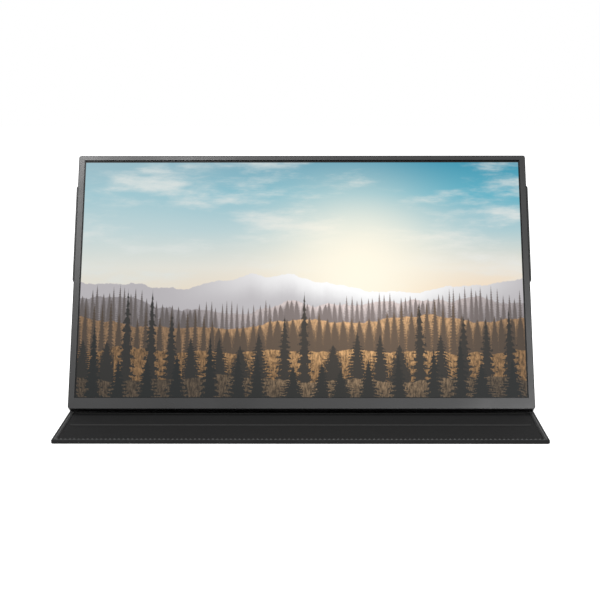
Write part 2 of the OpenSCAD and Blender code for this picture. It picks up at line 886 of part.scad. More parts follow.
module back_crease() {
    color([0.13, 0.13, 0.14]) on_leg() translate([0, 0, leg_reach]) crease(cover_w);
}

module leg_crease() {
    color([0.13, 0.13, 0.14]) on_leg() translate([0, 0, spine_l]) crease(cover_w);
}

module base_crease() {
    color([0.13, 0.13, 0.14]) on_base() crease(cover_w);
}

front_bezel();
bezel_gasket();
lcd_cell();
optical_films();
light_guide();
reflector_sheet();
led_bar();
panel_tray();
source_board();
rear_housing();
housing_screws();
main_board();
board_screws();
shield_can();
usb_c_port_upper();
usb_c_port_lower();
mini_hdmi_port();
display_cable();
speaker_left();
speaker_right();
speaker_leads();
button_board();
tact_switches();
button_ribbon();
steel_plates();
power_button();
jog_carrier();
jog_wheel();
back_panel_skin();
back_panel_board();
back_panel_lining();
back_panel_magnets();
leg_skin();
leg_board();
leg_lining();
spine_skin();
spine_board();
spine_lining();
base_skin();
base_board();
base_lining();
base_ribs();
back_crease();
leg_crease();
base_crease();
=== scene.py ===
"""The looks of a slim portable monitor that stands in its own folding leather cover."""

import json
import math

import bmesh
import bpy
from mathutils import Matrix, Vector


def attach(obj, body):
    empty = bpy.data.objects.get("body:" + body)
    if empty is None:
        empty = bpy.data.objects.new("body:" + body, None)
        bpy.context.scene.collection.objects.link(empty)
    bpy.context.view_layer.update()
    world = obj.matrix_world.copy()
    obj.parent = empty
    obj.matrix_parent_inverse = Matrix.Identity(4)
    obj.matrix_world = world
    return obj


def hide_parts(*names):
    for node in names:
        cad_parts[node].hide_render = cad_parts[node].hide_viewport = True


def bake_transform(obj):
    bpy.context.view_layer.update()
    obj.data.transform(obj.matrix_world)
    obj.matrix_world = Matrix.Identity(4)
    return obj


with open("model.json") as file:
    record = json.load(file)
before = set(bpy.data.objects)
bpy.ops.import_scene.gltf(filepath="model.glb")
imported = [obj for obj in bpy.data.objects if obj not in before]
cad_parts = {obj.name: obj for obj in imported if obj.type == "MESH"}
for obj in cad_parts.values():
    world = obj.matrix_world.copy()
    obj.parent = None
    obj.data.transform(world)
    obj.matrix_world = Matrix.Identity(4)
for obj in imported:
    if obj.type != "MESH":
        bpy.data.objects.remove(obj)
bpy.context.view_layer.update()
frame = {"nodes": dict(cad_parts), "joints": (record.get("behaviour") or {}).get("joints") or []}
MM = 0.001
X_AXIS = Vector((1, 0, 0))


# ---- Where things are, read from the frame ----

def joint(name):
    """The joint's record, by name."""
    return next(j for j in frame["joints"] if j["name"] == name)


def extent(node, axis):
    """Lowest and highest value of a CAD node's points along an axis."""
    reach = [v.co.dot(axis) for v in frame["nodes"][node].data.vertices]
    return min(reach), max(reach)


class Place:
    """The axes of a flat part: x runs along its creases, out leaves its outer face, along climbs it."""

    def __init__(self, origin, along, out):
        self.origin = Vector(origin)
        self.along = Vector(along).normalized()
        self.out = Vector(out).normalized()

    def at(self, x, out, along):
        """The point at these distances in metres from the origin."""
        return self.origin + X_AXIS * x + self.out * out + self.along * along

    def span(self, node):
        """The node's reach along the plate, from the origin."""
        low, high = extent(node, self.along)
        return low - self.origin.dot(self.along), high - self.origin.dot(self.along)

    def depth(self, node):
        """The node's reach out of the plate, from the origin."""
        low, high = extent(node, self.out)
        return low - self.origin.dot(self.out), high - self.origin.dot(self.out)


def outer_side(along):
    """The normal of a plate that climbs along this direction, away from its soft side."""
    return Vector((0, along.z, -along.y))


BASE_CREASE = Vector(joint("base_fold")["pos_m"])
LEG_CREASE = Vector(joint("spine_fold")["pos_m"])
BACK_CREASE = Vector(joint("back_fold")["pos_m"])
FRONT = Vector(joint("screen_release")["axis"]).normalized()
UP = Vector((0, FRONT.z, -FRONT.y))
LEG_UP = (BACK_CREASE - LEG_CREASE).normalized()

SCREEN = Place(UP * extent("front_bezel", UP)[0] + FRONT * extent("front_bezel", FRONT)[1], UP, FRONT)
BACK = Place(BACK_CREASE, UP, -FRONT)
LEG = Place(LEG_CREASE, LEG_UP, outer_side(LEG_UP))
SPINE = Place(BASE_CREASE, LEG_UP, outer_side(LEG_UP))
BASE = Place(BASE_CREASE, (0, -1, 0), (0, 0, -1))


# ---- Materials ----

def add(tree, kind, inputs=None, **settings):
    """Adds a node, sets its properties, and sets or links its inputs."""
    node = tree.nodes.new(kind)
    for name, value in settings.items():
        setattr(node, name, value)
    for name, value in (inputs or {}).items():
        if isinstance(value, bpy.types.NodeSocket):
            tree.links.new(value, node.inputs[name])
        else:
            node.inputs[name].default_value = value
    return node


def compute(tree, operation, *values):
    """A Math node's result."""
    node = add(tree, "ShaderNodeMath", operation=operation)
    for socket, value in zip(node.inputs, values):
        if isinstance(value, bpy.types.NodeSocket):
            tree.links.new(value, socket)
        else:
            socket.default_value = value
    return node.outputs[0]


def plus(tree, first, second):
    """The sum of two values."""
    return compute(tree, "ADD", first, second)


def minus(tree, first, second):
    """The first value less the second."""
    return compute(tree, "SUBTRACT", first, second)


def times(tree, first, second):
    """The product of two values."""
    return compute(tree, "MULTIPLY", first, second)


def reach_along(tree, vector, way):
    """How far a vector reaches along a direction."""
    node = add(tree, "ShaderNodeVectorMath", {0: vector, 1: tuple(way)}, operation="DOT_PRODUCT")
    return node.outputs["Value"]


def stretched(tree, vector, scale, turn=0.0):
    """A vector scaled along its axes and turned about the third."""
    inputs = {"Vector": vector, "Scale": scale, "Rotation": (0, 0, turn)}
    return add(tree, "ShaderNodeMapping", inputs).outputs[0]


def blend_colours(tree, share, first, second, how="MIX"):
    """Colour result of a Mix node."""
    node = add(tree, "ShaderNodeMix", data_type="RGBA", blend_type=how)
    for index, value in ((0, share), (6, first), (7, second)):
        if isinstance(value, bpy.types.NodeSocket):
            tree.links.new(value, node.inputs[index])
        else:
            node.inputs[index].default_value = value
    return node.outputs[2]


def noise(tree, vector, scale, detail, roughness=0.5):
    """Value of a Noise texture."""
    inputs = {"Vector": vector, "Scale": scale, "Detail": detail, "Roughness": roughness}
    return add(tree, "ShaderNodeTexNoise", inputs).outputs["Fac"]


def fade(tree, value, low, high, to_low=0.0, to_high=1.0):
    """Maps value from low..high to to_low..to_high, smoothly and within those ends."""
    inputs = {"Value": value, "From Min": low, "From Max": high, "To Min": to_low, "To Max": to_high}
    return add(tree, "ShaderNodeMapRange", inputs, interpolation_type="SMOOTHSTEP").outputs[0]


def grey(value, tint=0.0):
    """A grey with a slight cold tint."""
    return (value, value, value * (1 + tint), 1)


def new_material(name, **constants):
    """A material with a Principled shader; constants are set on the shader's own sockets."""
    material = bpy.data.materials.new(name)
    material.use_nodes = True
    tree = material.node_tree
    shader = tree.nodes["Principled BSDF"]
    for socket, value in constants.items():
        shader.inputs[socket.replace("_", " ")].default_value = value
    return material, tree, shader


def place_of_points(tree):
    """The points' own coordinates, in metres of the frame."""
    return add(tree, "ShaderNodeTexCoord").outputs["Object"]


def bump(tree, shader, height, distance, strength, after=None):
    """Adds a bump from a height to the shader's normal, and returns it."""
    inputs = {"Height": height, "Distance": distance, "Strength": strength}
    if after is not None:
        inputs["Normal"] = after
    normal = add(tree, "ShaderNodeBump", inputs).outputs["Normal"]
    tree.links.new(normal, shader.inputs["Normal"])
    return normal


def facing(tree, way):
    """How far the surface faces a direction: 1 when it looks straight along it."""
    return reach_along(tree, add(tree, "ShaderNodeTexCoord").outputs["Normal"], way)


# Scales of the textures, in waves or cells per metre
CLOUD_SCALE = 14
MOULD_GRAIN = 2600
PEBBLE_SCALE = 1050.0
PORE_SCALE = 3600
WEAR_SCALE = 22
SPECKLE_SCALE = 640
DRIFT_SCALE = 260.0
BRUSH_SCALE = 120
FUZZ_SCALE = 4200
STREAK_SCALE = 400
TWIST_SCALE = 900.0

# Depths of their relief, and how far the pebbles drift from a regular pattern
MOULD_DEPTH = 0.012 * MM
PEBBLE_DEPTH = 0.06 * MM
PORE_DEPTH = 0.02 * MM
DRIFT_REACH = 1.2 * MM
FUZZ_DEPTH = 0.08 * MM
STREAK_DEPTH = 0.01 * MM
TWIST_DEPTH = 0.03 * MM

BRUSH_STRETCH = (1.0, 2.6, 2.6)
STREAK_STRETCH = (1.0, 14.0, 14.0)
STREAK_DARKER = 0.72
RELIEF = 0.8
PRESSED_RELIEF = 0.2


def moulded(name, colour, darker, roughness, grain=MOULD_GRAIN, depth=MOULD_DEPTH, side=None, **constants):
    """Moulded plastic or coated metal: fine spark-eroded grain, faint cloudiness in colour and gloss.
    Faces that look neither forwards nor down may get the side colour, a darker grey that is painted shade, and
    then lose their gloss."""
    material, tree, shader = new_material(name, **constants)
    points = place_of_points(tree)
    cloud = noise(tree, points, CLOUD_SCALE, 4)
    fine = noise(tree, points, grain, 2)
    tone = blend_colours(tree, cloud, darker, colour)
    # Painted shade: faces that look neither forwards nor down take the darker side colour and no gloss, so
    # they stay dark.
    if side:
        hanging = fade(tree, facing(tree, -UP), 0.1, 0.4)
        front = fade(tree, compute(tree, "MAXIMUM", facing(tree, FRONT), hanging), 0.955, 1.0)
        tone = blend_colours(tree, front, side, tone)
        specular = shader.inputs["Specular IOR Level"]
        tree.links.new(fade(tree, front, 0.0, 1.0, 0.0, specular.default_value), specular)
    tree.links.new(tone, shader.inputs["Base Color"])
    dull = fade(tree, cloud, 0.3, 0.7, roughness - 0.04, roughness + 0.05)
    tree.links.new(dull, shader.inputs["Roughness"])
    bump(tree, shader, fine, depth, 0.6)
    return material


def leather(name, colour, darker, roughness, pressed=None, **constants):
    """Fine-grained synthetic leather: pebbles split by creases that carry painted shade, speckled tone, softer
    gloss in the hollows.
    The side towards the screen may be pressed smoother, with a roughness of its own."""
    material, tree, shader = new_material(name, **constants)
    points = place_of_points(tree)
    inputs = {"Vector": points, "Scale": DRIFT_SCALE, "Detail": 2.0}
    drift = add(tree, "ShaderNodeTexNoise", inputs).outputs["Color"]
    shift = add(tree, "ShaderNodeVectorMath", {0: drift, "Scale": DRIFT_REACH}, operation="SCALE").outputs[0]
    warped = add(tree, "ShaderNodeVectorMath", {0: points, 1: shift}, operation="ADD").outputs[0]
    pebble = add(tree, "ShaderNodeTexVoronoi", {"Vector": warped, "Scale": PEBBLE_SCALE},
                 feature="DISTANCE_TO_EDGE").outputs["Distance"]
    dome = fade(tree, pebble, 0.0, 0.28)
    # Painted shade: the colour is darker in the creases between the pebbles.
    crease = fade(tree, pebble, 0.0, 0.12, 0.55, 1.0)
    wear = fade(tree, noise(tree, points, WEAR_SCALE, 4), 0.3, 0.7, 0.45, 1.0)
    speckle = fade(tree, noise(tree, points, SPECKLE_SCALE, 2), 0.35, 0.65, 0.5, 1.0)
    tone = times(tree, times(tree, wear, speckle), crease)
    tree.links.new(blend_colours(tree, tone, darker, colour), shader.inputs["Base Color"])
    dull = fade(tree, dome, 0.0, 1.0, roughness + 0.2, roughness)
    relief = RELIEF
    if pressed:
        front = fade(tree, facing(tree, FRONT), 0.9, 1.0)
        dull = fade(tree, front, 0.0, 1.0, dull, pressed)
        relief = fade(tree, front, 0.0, 1.0, relief, PRESSED_RELIEF)
    tree.links.new(dull, shader.inputs["Roughness"])
    first = bump(tree, shader, dome, PEBBLE_DEPTH, relief)
    bump(tree, shader, noise(tree, points, PORE_SCALE, 2), PORE_DEPTH, 0.5, after=first)
    return material


def nap(name, colour, darker, **constants):
    """Short-napped microfibre or board: brushed patches and a fine fuzz."""
    material, tree, shader = new_material(name, Roughness=0.9, **constants)
    points = place_of_points(tree)
    brushed = noise(tree, stretched(tree, points, BRUSH_STRETCH), BRUSH_SCALE, 5, 0.6)
    fuzz = noise(tree, points, FUZZ_SCALE, 3, 0.7)
    tone = plus(tree, times(tree, brushed, 0.6), times(tree, fuzz, 0.4))
    tree.links.new(blend_colours(tree, tone, darker, colour), shader.inputs["Base Color"])
    bump(tree, shader, fuzz, FUZZ_DEPTH, 0.7)
    return material


def metal(name, colour, roughness, relief=1.0):
    """Drawn or rolled sheet metal with faint lengthwise streaks."""
    material, tree, shader = new_material(name, Metallic=1.0)
    streak = noise(tree, stretched(tree, place_of_points(tree), STREAK_STRETCH), STREAK_SCALE, 3)
    darker = tuple(STREAK_DARKER * c for c in colour[:3]) + (1,)
    tree.links.new(blend_colours(tree, streak, darker, colour), shader.inputs["Base Color"])
    dull = fade(tree, streak, 0.3, 0.7, roughness - 0.06, roughness + 0.08)
    tree.links.new(dull, shader.inputs["Roughness"])
    bump(tree, shader, streak, STREAK_DEPTH * relief, 0.5)
    return material


def thread(name, colour, darker):
    """Twisted sewing thread."""
    material, tree, shader = new_material(name, Roughness=0.75, Specular_IOR_Level=0.3)
    inputs = {"Vector": place_of_points(tree), "Scale": TWIST_SCALE, "Distortion": 2.0}
    wave = add(tree, "ShaderNodeTexWave", inputs, wave_type="BANDS", bands_direction="DIAGONAL")
    twist = wave.outputs["Fac"]
    tree.links.new(blend_colours(tree, twist, darker, colour), shader.inputs["Base Color"])
    bump(tree, shader, twist, TWIST_DEPTH, 0.7)
    return material


# The bezel's side colour is painted shade: a darker grey, without gloss, that keeps the bezel's edges dark.
BEZEL_PAINTED_SIDE_SHADE = moulded("bezel_plastic_painted_side_shade", grey(0.017, 0.02), grey(0.013, 0.02), 0.31, side=grey(0.015, 0.02),
                Specular_IOR_Level=0.33)
HOUSING = moulded("housing_plastic", grey(0.025, 0.03), grey(0.020, 0.03), 0.44, depth=0.03 * MM,
                  Specular_IOR_Level=0.35)
CONTROL = moulded("control_plastic", grey(0.05, 0.03), grey(0.04, 0.03), 0.38)
BLACK_PLASTIC = moulded("black_plastic", grey(0.014), grey(0.009), 0.5)
FOAM = nap("gasket_foam", grey(0.012), grey(0.006))
GLASS_MASK = moulded("display_mask", grey(0.004), grey(0.003), 0.35, 900, 0.004 * MM,
                     Specular_IOR_Level=0.15)
FILM = moulded("white_film", grey(0.8), grey(0.74), 0.5, 1200, 0.01 * MM)
GUIDE = moulded("light_guide_sheet", (0.76, 0.82, 0.84, 1), (0.7, 0.78, 0.8, 1), 0.18, 500, 0.02 * MM)
LED = moulded("led_strip", (0.8, 0.68, 0.28, 1), (0.6, 0.5, 0.2, 1), 0.4)
STEEL = metal("sheet_steel", (0.52, 0.52, 0.53, 1), 0.34)
BLACK_STEEL = metal("black_steel", (0.07, 0.07, 0.075, 1), 0.36, 0.6)
PLATED = metal("plated_steel", (0.6, 0.6, 0.61, 1), 0.25, 0.5)
MASK_GREEN = moulded("solder_mask", (0.012, 0.12, 0.045, 1), (0.008, 0.085, 0.03, 1), 0.3, 700)
AMBER = moulded("cable_film", (0.42, 0.17, 0.03, 1), (0.3, 0.12, 0.02, 1), 0.3, 900)
BOARD = nap("stiffener_board", (0.33, 0.27, 0.18, 1), (0.24, 0.19, 0.12, 1))
LEATHER = leather("cover_leather", grey(0.026, 0.02), grey(0.013, 0.02), 0.5, pressed=0.33,
                  Specular_IOR_Level=0.33)
# Painted shade: the base's leather is a darker, duller copy of the cover leather, which keeps the base's front
# edge dark.
SHADED_BASE_LEATHER = leather("base_leather", grey(0.0185, 0.02), grey(0.009, 0.02), 0.55,
                       Specular_IOR_Level=0.13)
LINING = nap("cover_lining", grey(0.0135, 0.02), grey(0.008, 0.02), Specular_IOR_Level=0.1)
THREAD = thread("stitch_thread", grey(0.11), grey(0.075))
RUBBER = moulded("stop_rubber", grey(0.014), grey(0.010), 0.62, 1800, 0.04 * MM,
                 Specular_IOR_Level=0.25)

NODE_MATERIALS = {
    BEZEL_PAINTED_SIDE_SHADE: ("front_bezel",),
    HOUSING: ("rear_housing",),
    CONTROL: ("power_button", "jog_wheel"),
    BLACK_PLASTIC: ("jog_carrier", "speaker_left", "speaker_right", "tact_switches"),
    FOAM: ("bezel_gasket",),
    GLASS_MASK: ("lcd_cell",),
    FILM: ("optical_films", "reflector_sheet"),
    GUIDE: ("light_guide",),
    LED: ("led_bar",),
    STEEL: ("panel_tray", "steel_plates", "shield_can"),
    BLACK_STEEL: ("housing_screws", "board_screws"),
    PLATED: ("usb_c_port_upper", "usb_c_port_lower", "mini_hdmi_port", "back_panel_magnets"),
    MASK_GREEN: ("source_board", "main_board", "button_board"),
    AMBER: ("display_cable", "button_ribbon", "speaker_leads"),
    BOARD: ("back_panel_board", "leg_board", "spine_board", "base_board"),
    RUBBER: ("base_ribs",),
}


def dress_nodes():
    """Gives every CAD node that is carried over its material."""
    for material, names in NODE_MATERIALS.items():
        for name in names:
            slots = frame["nodes"][name].data.materials
            slots.clear()
            slots.append(material)


# ---- Mesh helpers ----

def make_piece(name, points, faces, material, body, smooth=True):
    """A mesh object from points and faces that rides on a body."""
    mesh = bpy.data.meshes.new(name)
    mesh.from_pydata([tuple(p) for p in points], [], faces)
    mesh.update()
    work = bmesh.new()
    work.from_mesh(mesh)
    bmesh.ops.recalc_face_normals(work, faces=work.faces)
    work.to_mesh(mesh)
    work.free()
    for polygon in mesh.polygons:
        polygon.use_smooth = smooth
    piece = bpy.data.objects.new(name, mesh)
    bpy.context.scene.collection.objects.link(piece)
    mesh.materials.append(material)
    if body:
        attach(piece, body)
    return piece


CORNER_STEPS = 5
LEAST_CORNER_R = 0.15 * MM


def rounded_ring(width, height, radius):
    """Points of a rounded rectangle round the origin, anticlockwise."""
    ring = []
    corners = ((1, 1, 0), (-1, 1, 90), (-1, -1, 180), (1, -1, 270))
    for sx, sz, start in corners:
        for step in range(CORNER_STEPS + 1):
            angle = math.radians(start + 90 * step / CORNER_STEPS)
            ring.append((sx * (width / 2 - radius) + radius * math.cos(angle),
                         sz * (height / 2 - radius) + radius * math.sin(angle)))
    return ring


def wrap_rings(faces, start, count):
    """Adds the faces between one ring of points and the next."""
    for i in range(count):
        j = (i + 1) % count
        faces.append((start + i, start + j, start + count + j, start + count + i))


def stacked_slab(place, width, low, high, radius, profile):
    """Points and faces of a plate, capped at both ends. The profile lists how far its outline shrinks at each
    depth, as pairs of inset and depth."""
    middle = (low + high) / 2
    rings = [[place.at(x, depth, middle + z) for x, z in
              rounded_ring(width - 2 * inset, high - low - 2 * inset, max(radius - inset, LEAST_CORNER_R))]
             for inset, depth in profile]
    points = [point for ring in rings for point in ring]
    count = len(rings[0])
    last = (len(rings) - 1) * count
    faces = []
    for start in range(0, last, count):
        wrap_rings(faces, start, count)
    faces.append(tuple(range(count - 1, -1, -1)))
    faces.append(tuple(range(last, last + count)))
    return points, faces


def arc_steps(inset_from, depth_from, inset_to, depth_to, bulge_first, steps=5):
    """Quarter-round profile points between two corners; bulge_first leaves the inset for last."""
    result = []
    for step in range(steps + 1):
        angle = math.pi / 2 * step / steps
        a, b = math.sin(angle), 1 - math.cos(angle)
        share_inset, share_depth = (b, a) if bulge_first else (a, b)
        result.append((inset_from + (inset_to - inset_from) * share_inset,
                       depth_from + (depth_to - depth_from) * share_depth))
    return result


# ---- The cover ----

def panel_middle(place, node):
    """Depth of the middle of a panel's thickness."""
    low, high = place.depth(node)
    return (low + high) / 2


skin_low, skin_high = BACK.depth("back_panel_skin")
HALF_T = (skin_high - skin_low) / 2
LINING_T = 0.8 * MM
LINING_RECESS = 0.04 * MM
LINING_TUCK = 0.4 * MM
LINING_CORNER_R = 0.6 * MM
HEM = 4.2 * MM
SPINE_HEM = 1.9 * MM
HEM_LIP = 0.35 * MM
HEM_GAP = 0.3 * MM
EDGE_R = 0.85 * MM
BACK_EDGE_R = 0.35 * MM
CORNER_R = 2.0 * MM
SEAM_DEPTH = 0.32 * MM
SEAM_HALF_W = 0.55 * MM

STITCH_INSET = 2.3 * MM
STITCH_PITCH = 3.2 * MM
STITCH_L = 2.0 * MM
STITCH_R = 0.45 * MM
STITCH_SLANT = math.radians(14)
STITCH_SINK = 0.20 * MM
STITCH_FLUSH = 1.5 * STITCH_R + 0.02 * MM
STITCH_RINGS = 5
STITCH_SIDES = 6

# In stitch radii: how high a stitch's middle stands, how far its ends dive; and how much its ends taper
STITCH_RISE = 0.5
STITCH_DIVE = 0.95
STITCH_TAPER = 0.85


def skin_profile(hem, bend):
    """Profile of a leather skin from its pocket floor, over the hem and round the edge, to its outer face.
    The bend is the radius of its edge on the hem's side."""
    inner = -HALF_T
    seam_from, seam_to = STITCH_INSET - SEAM_HALF_W, STITCH_INSET + SEAM_HALF_W
    return (
        [(hem, inner + LINING_T), (hem, inner + HEM_LIP)]
        + arc_steps(hem, inner + HEM_LIP, hem - HEM_LIP, inner, True, 3)
        + [(seam_to, inner), (STITCH_INSET, inner + SEAM_DEPTH), (seam_from, inner)]
        + arc_steps(bend, inner, 0, inner + bend, False)
        + arc_steps(0, HALF_T - EDGE_R, EDGE_R, HALF_T, True)
        + [(seam_from, HALF_T), (STITCH_INSET, HALF_T - SEAM_DEPTH), (seam_to, HALF_T),
           (seam_to + 2 * SEAM_HALF_W, HALF_T)]
    )


def lining_profile():
    """Profile of the lining: its edge is tucked and rounded, its face lies almost flush with the hem."""
    low, high = -HALF_T + LINING_T, -HALF_T + LINING_RECESS
    edge = high + LINING_TUCK
    return [(0, low), (0, edge)] + arc_steps(0, edge, LINING_TUCK, high, True, 4) + [(4 * LINING_TUCK, high)]


def stitch(points, faces, middle, forward, side, normal, sink):
    """Adds one stitch: a short thread that dives into the leather at both ends."""
    forward = (forward * math.cos(STITCH_SLANT) + side * math.sin(STITCH_SLANT)).normalized()
    side = normal.cross(forward)
    start = len(points)
    last = start + (STITCH_RINGS - 1) * STITCH_SIDES
    for ring in range(STITCH_RINGS):
        t = 2 * ring / (STITCH_RINGS - 1) - 1
        thick = STITCH_R * math.sqrt(1 - STITCH_TAPER * t * t)
        rise = STITCH_R * (STITCH_RISE - STITCH_DIVE * t * t) - sink
        centre = middle + forward * (t * STITCH_L / 2) + normal * rise
        for k in range(STITCH_SIDES):
            angle = 2 * math.pi * k / STITCH_SIDES
            points.append(centre + side * (thick * math.cos(angle)) + normal * (thick * math.sin(angle)))
    for ring_start in range(start, last, STITCH_SIDES):
        wrap_rings(faces, ring_start, STITCH_SIDES)
    faces.append(tuple(range(start, start + STITCH_SIDES)))
    faces.append(tuple(range(last, last + STITCH_SIDES)))


def stitch_rectangle(place, width, low, high, depth, outwards, sink, skip):
    """Stitches round a rectangle at a depth of the plate, sunk into it; skip names sides left bare."""
    points, faces = [], []
    half_w = width / 2 - STITCH_INSET
    z0, z1 = low + STITCH_INSET, high - STITCH_INSET
    normal = place.out * outwards
    runs = {
        "low": ((-half_w, z0), (half_w, z0)),
        "right": ((half_w, z0), (half_w, z1)),
        "high": ((half_w, z1), (-half_w, z1)),
        "left": ((-half_w, z1), (-half_w, z0)),
    }
    for name, ((xa, za), (xb, zb)) in runs.items():
        if name in skip:
            continue
        a, b = place.at(xa, depth, za), place.at(xb, depth, zb)
        forward = (b - a).normalized()
        side = normal.cross(forward)
        count = max(1, round((b - a).length / STITCH_PITCH))
        for i in range(count):
            stitch(points, faces, a + (b - a) * ((i + 0.5) / count), forward, side, normal, sink)
    return points, faces


def cover_panel(name, place, hem=HEM, skip=(), sink=STITCH_FLUSH, skin=LEATHER, bend=EDGE_R):
    """One stiff panel of the cover: its leather, its lining and their stitches. The stitches on the lining's
    side are sunk flush unless told otherwise, as the screen may lie against them. Returns the panel's ends."""
    skin_node, lining_node = name + "_skin", name + "_lining"
    half_w = extent(skin_node, X_AXIS)[1]
    width = 2 * half_w
    rim = half_w - extent(lining_node, X_AXIS)[1]
    lining_low, lining_high = place.span(lining_node)
    low, high = lining_low - rim, lining_high + rim
    middle = Place(place.at(0, panel_middle(place, skin_node), 0), place.along, place.out)
    points, faces = stacked_slab(middle, width, low, high, CORNER_R, skin_profile(hem, bend))
    leather_piece = make_piece(name + "_leather", points, faces, skin, name)
    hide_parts(skin_node)
    inset = hem + HEM_GAP
    points, faces = stacked_slab(middle, width - 2 * inset, low + inset, high - inset, LINING_CORNER_R,
                                 lining_profile())
    cloth = make_piece(name + "_cloth", points, faces, LINING, name)
    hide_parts(lining_node)
    for label, depth, outwards, down in (("inner", -HALF_T, -1, sink), ("outer", HALF_T, 1, STITCH_FLUSH)):
        points, faces = stitch_rectangle(middle, width, low, high, depth, outwards, down, skip)
        seam = make_piece(f"{name}_{label}_stitches", points, faces, THREAD, name)
    return low, high


GUSSET_HALF_T = 0.62 * MM
GUSSET_TUCK = 1.0 * MM
GUSSET_SETBACK = 0.9 * MM
GUSSET_SWELL = 0.25
GUSSET_PINCH = 0.35
GUSSET_SECTIONS = 60
ARM_STEPS = 4
FOLD_STEPS = 8
FOLD_R = 1.3 * MM


def gusset(name, crease, nodes, to_a, end_a, to_b, end_b, half_w):
    """The soft leather across a crease, bent between its two panels, thinner than they are."""
    line = []
    for step in range(ARM_STEPS + 1):
        line.append(crease + to_a * (end_a + (FOLD_R - end_a) * step / ARM_STEPS))
    for step in range(1, FOLD_STEPS):
        t = step / FOLD_STEPS
        line.append(crease + to_a * (FOLD_R * (1 - t) ** 2) + to_b * (FOLD_R * t * t))
    for step in range(ARM_STEPS + 1):
        line.append(crease + to_b * (FOLD_R + (end_b - FOLD_R) * step / ARM_STEPS))
    around = []
    for i, point in enumerate(line):
        ahead = line[min(i + 1, len(line) - 1)] - line[max(i - 1, 0)]
        across = X_AXIS.cross(ahead).normalized()
        swell = 1 + GUSSET_SWELL * math.sin(math.pi * i / (len(line) - 1))
        around.append((point, across * (GUSSET_HALF_T * swell)))
    points, faces = [], []
    for section in range(GUSSET_SECTIONS + 1):
        x = X_AXIS * (half_w * (2 * section / GUSSET_SECTIONS - 1))
        pinch = GUSSET_PINCH if section in (0, GUSSET_SECTIONS) else 1.0
        points += [p + x + off * pinch for p, off in around]
        points += [p + x - off * pinch for p, off in reversed(around)]
    ring = 2 * len(line)
    last = GUSSET_SECTIONS * ring
    for start in range(0, last, ring):
        wrap_rings(faces, start, ring)
    faces.append(tuple(range(ring)))
    faces.append(tuple(range(last, last + ring)))
    piece = make_piece(name, points, faces, LEATHER, None)
    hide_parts(*nodes)
    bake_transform(piece)


def build_cover():
    """The four panels and the three creases."""
    base_low, _ = cover_panel("base", BASE, sink=STITCH_SINK, skin=SHADED_BASE_LEATHER)
    spine_low, spine_high = cover_panel("spine", SPINE, SPINE_HEM, skip=("left", "right"))
    leg_low, leg_high = cover_panel("leg", LEG)
    back_low, _ = cover_panel("back_panel", BACK, bend=BACK_EDGE_R)
    half_w = extent("base_skin", X_AXIS)[1] - GUSSET_SETBACK
    spine_l = (LEG_CREASE - BASE_CREASE).length
    leg_l = (BACK_CREASE - LEG_CREASE).length
    gusset("base_fold_leather", BASE_CREASE, ["base_crease"],
           BASE.along, base_low + GUSSET_TUCK, LEG_UP, spine_low + GUSSET_TUCK, half_w)
    gusset("spine_fold_leather", LEG_CREASE, ["leg_crease"],
           -LEG_UP, spine_l - spine_high + GUSSET_TUCK, LEG_UP, leg_low + GUSSET_TUCK, half_w)
    gusset("back_fold_leather", BACK_CREASE, ["back_crease"],
           -LEG_UP, leg_l - leg_high + GUSSET_TUCK, UP, back_low + GUSSET_TUCK, half_w)


# ---- The screen's picture ----

PICTURE_MARGIN = 1.0 * MM
PICTURE_TOP_MARGIN = 1.65 * MM
PICTURE_CORNER_R = 0.1 * MM
PICTURE_SUNK = 0.01 * MM
PICTURE_EDGE = 0.03 * MM
PICTURE_PROUD = 0.05 * MM
films_low, films_high = SCREEN.span("optical_films")
PICTURE_LOW = films_low + PICTURE_MARGIN
PICTURE_HIGH = films_high - PICTURE_TOP_MARGIN
PICTURE_W = 2 * (extent("optical_films", X_AXIS)[1] - PICTURE_MARGIN)
PICTURE_H = PICTURE_HIGH - PICTURE_LOW
ASPECT = PICTURE_W / PICTURE_H

# Heights and places in the picture are shares of its height. Tones are linear.
SKY = (
    # height, tone
    (0.42, (0.86, 0.66, 0.46)),
    (0.54, (0.80, 0.74, 0.64)),
    (0.70, (0.40, 0.58, 0.62)),
    (0.86, (0.10, 0.42, 0.54)),
    (1.00, (0.035, 0.29, 0.42)),
)
CLOUD_TONE = (0.76, 0.77, 0.74, 1)
HAZE_TONE = (0.58, 0.66, 0.65, 1)
SUN_TONE = (1.0, 0.94, 0.78, 1)
SUN = (0.63 * ASPECT, 0.52)
RIDGES = (
    # base, scale, amplitude, seed, tone, texture
    (0.47, 3.4, 0.26, 3.1, (0.44, 0.42, 0.44), 0.0),
    (0.385, 4.6, 0.24, 7.7, (0.235, 0.215, 0.225), 0.15),
    (0.31, 3.6, 0.22, 12.4, (0.205, 0.120, 0.060), 0.45),
    (0.19, 4.4, 0.17, 21.9, (0.160, 0.088, 0.036), 0.85),
    (0.075, 5.2, 0.12, 33.3, (0.052, 0.036, 0.022), 1.0),
)
FIRS = (
    # after which ridge, height, trees per unit, seed, tone
    (1, 0.075, 46.0, 5.2, (0.105, 0.088, 0.085)),
    (2, 0.115, 30.0, 8.6, (0.062, 0.042, 0.028)),
    (3, 0.300, 11.0, 2.4, (0.016, 0.015, 0.013)),
    (4, 0.260, 9.0, 14.9, (0.007, 0.009, 0.009)),
)
FIR_FOOT = 0.012
BOUGHS = 7.0
LEAN_SEED = 71.3


def warmed(tone, gain, glow, tint):
    """A tone in the sun's light, as a colour."""
    return tuple(min(1.0, gain * c + glow * k) for c, k in zip(tone, tint)) + (1,)


